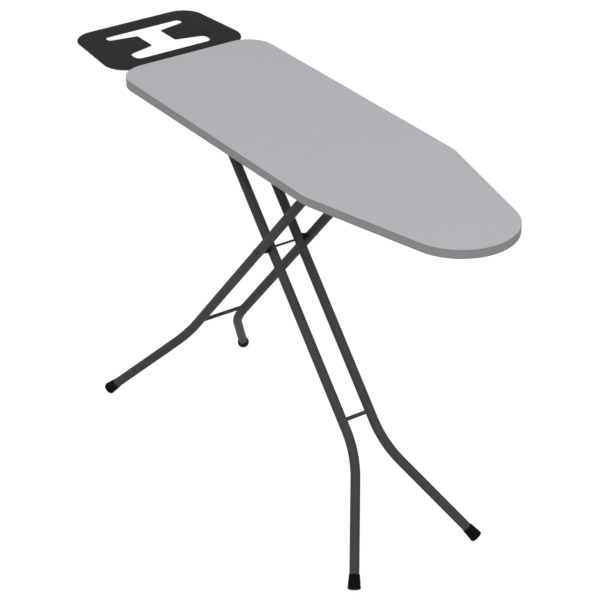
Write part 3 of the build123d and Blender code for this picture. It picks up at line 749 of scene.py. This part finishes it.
rest_plate = shell_of(
    "rest_plate", np.concatenate([wall.reshape(-1, 3) for wall in walls]),
    [face for faces in rest_faces for face in faces.tolist()], 35.0, filled=True,
)

# A painted highlight where the edge turns: the less a face looks up or down, the paler it is, up to
# five times, standing in for light on the rolled lip and the cut edge, with random scuffs along it.
rest_black = (0.0165, 0.0165, 0.0165)
rest_paint = powder_coat("matt_black_rest_paint", rest_black, 0.62, 0.35, 0.06)
rest_tree = rest_paint.node_tree
rest_color = rest_tree.nodes["Principled BSDF"].inputs["Base Color"]
rest_where = add(rest_tree, "TexCoord")
facing = add(rest_tree, "SeparateXYZ", Vector=rest_where.outputs["Normal"])
upright = reckon(rest_tree, "ABSOLUTE", facing.outputs["Z"])
# Painted highlight on the edge faces, set by how far each face turns from up or down.
painted_edge_sheen = add(rest_tree, "MapRange", Value=upright, From_Min=0.92, From_Max=0.45, To_Min=1.0, To_Max=5.0)
scuffs = noise(rest_tree, rest_where.outputs["Object"], 160.0, 4.0)
scuffed = add(rest_tree, "MapRange", Value=scuffs, From_Min=0.3, From_Max=0.7, To_Min=0.85, To_Max=1.1)
sheen_and_scuffs = reckon(rest_tree, "MULTIPLY", painted_edge_sheen.outputs[0], scuffed.outputs[0])
sheen_and_scuff_tint = add(rest_tree, "VectorMath", {"operation": "SCALE"}, _0=rest_color.links[0].from_socket, Scale=sheen_and_scuffs)
rest_tree.links.new(sheen_and_scuff_tint.outputs[0], rest_color)
fit(rest_plate, "tabletop", "rest_black", rest_paint, "iron_rest")

# ---- The leg tubes ----
# Four steel tubes, charcoal powder coated, straight for most of their length and bent outwards
# near the floor. Each frame's two tubes mirror each other, and the front frame fits inside.

tube_radius = 0.011
tube_bore = tube_radius - 0.0012
tube_top = -0.011
straight_steps = (0.2, 0.4, 0.6)
last_step = 0.1
end_round, bore_round = 0.0004, 0.0002
splay_at = 0.8725
splay_angle = np.radians(25.65)
splay_radius = 0.250
cap_floor = 0.006
foot_height = 0.0084
joints = {joint["name"]: np.array(joint["pos_m"]) for joint in frame["joints"]}
front_top = joints["front_legs_fold"]
crossing = joints["rear_legs_swing"]
rear_top = 2 * crossing - front_top
rear_top[2] = front_top[2]
leg_frames = {"front": (front_top, 0.0372), "rear": (rear_top, 0.0690)}
legs = [(name, side_name, side) for name in leg_frames for side_name, side in (("left", 1), ("right", -1))]
bend_start = splay_at - splay_radius * np.tan(splay_angle / 2)
bend_length = splay_radius * splay_angle
leg_paint = powder_coat("charcoal_leg_paint", (0.045, 0.045, 0.0455), 0.55, 0.2, 0.10)


def down_slope(top):
    """The unit vector from a frame's top rod to the bolt where the frames cross."""
    return (crossing - top) / np.linalg.norm(crossing - top)


def leg_line(frame_name, side, run):
    """Places on a leg's centre line, at lengths run from its top rod, with two directions.

    In the frame's plane the line runs straight down the slope, turns through the splay angle
    on an arc and runs straight again. Returns the places, and at each the unit vectors across
    the tube in that plane and square to the plane."""
    top, spread = leg_frames[frame_name]
    down = down_slope(top)
    out = np.array((0, side, 0))
    turn = np.clip((run - bend_start) / splay_radius, 0, splay_angle)
    after = np.maximum(run - bend_start - bend_length, 0)
    forward = np.minimum(run, bend_start) + splay_radius * np.sin(turn) + after * np.cos(splay_angle)
    sideways = spread + splay_radius * (1 - np.cos(turn)) + after * np.sin(splay_angle)
    places = top + forward[:, None] * down + sideways[:, None] * out
    across = np.cos(turn)[:, None] * out - np.sin(turn)[:, None] * down
    return places, across, np.broadcast_to(np.cross(down, out), places.shape)


# A leg's length puts its end at the foot's height: the slope's run to that height, less what
# the straight part and the bend take, is the run of the splayed part.
run_to_foot = (front_top[2] - foot_height) / -down_slope(front_top)[2]
splayed_run = run_to_foot - bend_start - splay_radius * np.sin(splay_angle)
leg_length = bend_start + bend_length + splayed_run / np.cos(splay_angle)
tube_end = leg_length - cap_floor
outside_run = np.concatenate([
    [tube_top, tube_top + end_round, *straight_steps],
    np.linspace(bend_start, bend_start + bend_length, 22),
    [tube_end - last_step, tube_end],
])
inside_run = outside_run[1:][::-1]
tube_run = np.concatenate([outside_run, inside_run, [tube_top, tube_top]])
tube_size = np.concatenate([
    [tube_radius - end_round], np.full(len(outside_run) - 1, tube_radius),
    np.full(len(inside_run), tube_bore), [tube_bore + bore_round, tube_radius - end_round],
])[:, None]
tube_round = np.linspace(0, 2 * np.pi, 41)
for frame_name, side_name, side in legs:
    places, across, square = leg_line(frame_name, side, tube_run)
    tube = skin(f"{frame_name}_{side_name}_leg", carry(
        places, across, square, tube_size * np.cos(tube_round), tube_size * np.sin(tube_round)
    ))
    fit(tube, f"{frame_name}_legs", "leg_steel", leg_paint, f"{frame_name}_{side_name}_tube")

# ---- Crossbars ----
# A thin steel bar welded between the two tubes of each frame just above the splay, with a
# rippled bead of weld round each end, painted with the legs.

crossbar_at = 0.795
crossbar_radius = 0.0045
bead = 0.0013
bead_length = 1.4 * bead
bead_ripples, ripple_height = 9, 0.10
bar_in_tube = 0.0008
bead_turn = np.radians(np.linspace(0, 90, 6))
bead_size = bead * (1 + ripple_height * np.sin(bead_ripples * tube_round[:, None])) * (1 - np.sin(bead_turn))
around_bar = np.ones((len(tube_round), 1))
for frame_name, (top, spread) in leg_frames.items():
    # Half a bar: the middle of its hidden end, the bead where it meets the tube, its middle.
    # The bead follows the tube's round side: reach is spread - root(tube**2 - off axis**2).
    off_axis = crossbar_radius * np.sin(tube_round)
    reach = (spread - np.sqrt(tube_radius**2 - off_axis**2))[:, None]
    half_radius = np.hstack([0 * around_bar, crossbar_radius + bead_size, crossbar_radius * around_bar])
    half_y = np.hstack([
        (spread - tube_radius + bar_in_tube) * around_bar,
        reach + bar_in_tube - bead_length * (1 - np.cos(bead_turn)),
        0 * around_bar,
    ])
    bar_radius = np.concatenate([half_radius, half_radius[:, -2::-1]], axis=1)[..., None]
    bar_y = np.concatenate([-half_y, half_y[:, -2::-1]], axis=1)[..., None]
    down = down_slope(top)
    middle = leg_line(frame_name, 1, np.array([crossbar_at]))[0][0] * (1, 0, 1)
    crossbar = skin(
        f"{frame_name}_bar",
        middle + bar_y * (0, 1, 0)
        + bar_radius * np.cos(tube_round)[:, None, None] * down
        + bar_radius * np.sin(tube_round)[:, None, None] * np.cross(down, (0, 1, 0)),
    )
    fit(crossbar, f"{frame_name}_legs", "leg_steel", leg_paint, f"{frame_name}_crossbar")

# ---- Foot caps ----
# Black rubber ferrules pushed over the ends of the tubes: a rounded mouth, a straight flare
# and a rounded closed end, worn flat where it stands on the floor.

cap_length = 0.0320
cap_mouth = 0.0122
cap_end = 0.0146
cap_round = 0.0036
mouth_round = 0.0005
lip_depth, lip_width = 0.0004, 0.0003
straight_from = 0.001
end_flat = 0.006
flare = (cap_end - cap_mouth) / cap_length
rubber = moulded("black_rubber", (0.0035, 0.0035, 0.0035), 0.7, 900.0, 0.05)
# From the middle of the tube's end up the bore, over the mouth, down the side and round the
# end: pairs of radius and length from the mouth.
cap_profile = np.vstack([
    [(0, cap_length - cap_floor), (tube_radius, cap_length - cap_floor)],
    [(tube_radius, lip_depth), (tube_radius + lip_width, 0)],
    arc((cap_mouth - mouth_round, mouth_round), mouth_round, -90, 0, 4),
    stretch(
        (cap_mouth + straight_from * flare, straight_from),
        (cap_end - flare * cap_round, cap_length - cap_round), 5,
    ),
    arc((cap_end - cap_round, cap_length - cap_round), cap_round, 0, 90, 9),
    [(end_flat, cap_length), (0, cap_length)],
])
cap_size = cap_profile[:, :1]
for frame_name, side_name, side in legs:
    places, across, square = leg_line(frame_name, side, leg_length - cap_length + cap_profile[:, 1])
    cap_points = carry(
        places, across, square, cap_size * np.cos(tube_round), cap_size * np.sin(tube_round)
    )
    cap_points[..., 2] = np.maximum(cap_points[..., 2], 0)
    cap = skin(f"{frame_name}_{side_name}_cap", cap_points)
    fit(cap, f"{frame_name}_legs", "foot_rubber", rubber, f"{frame_name}_{side_name}_foot_cap")

# ---- Pivot spacers and bolt ----
# Black moulded spacers keep the two frames apart on a thin painted bolt: each is a short barrel
# with a foot that wraps part of the way round the front tube.

refinish(leg_paint, "pivot_bolt")
refinish(black_plastic, "left_pivot_spacer", "right_pivot_spacer")
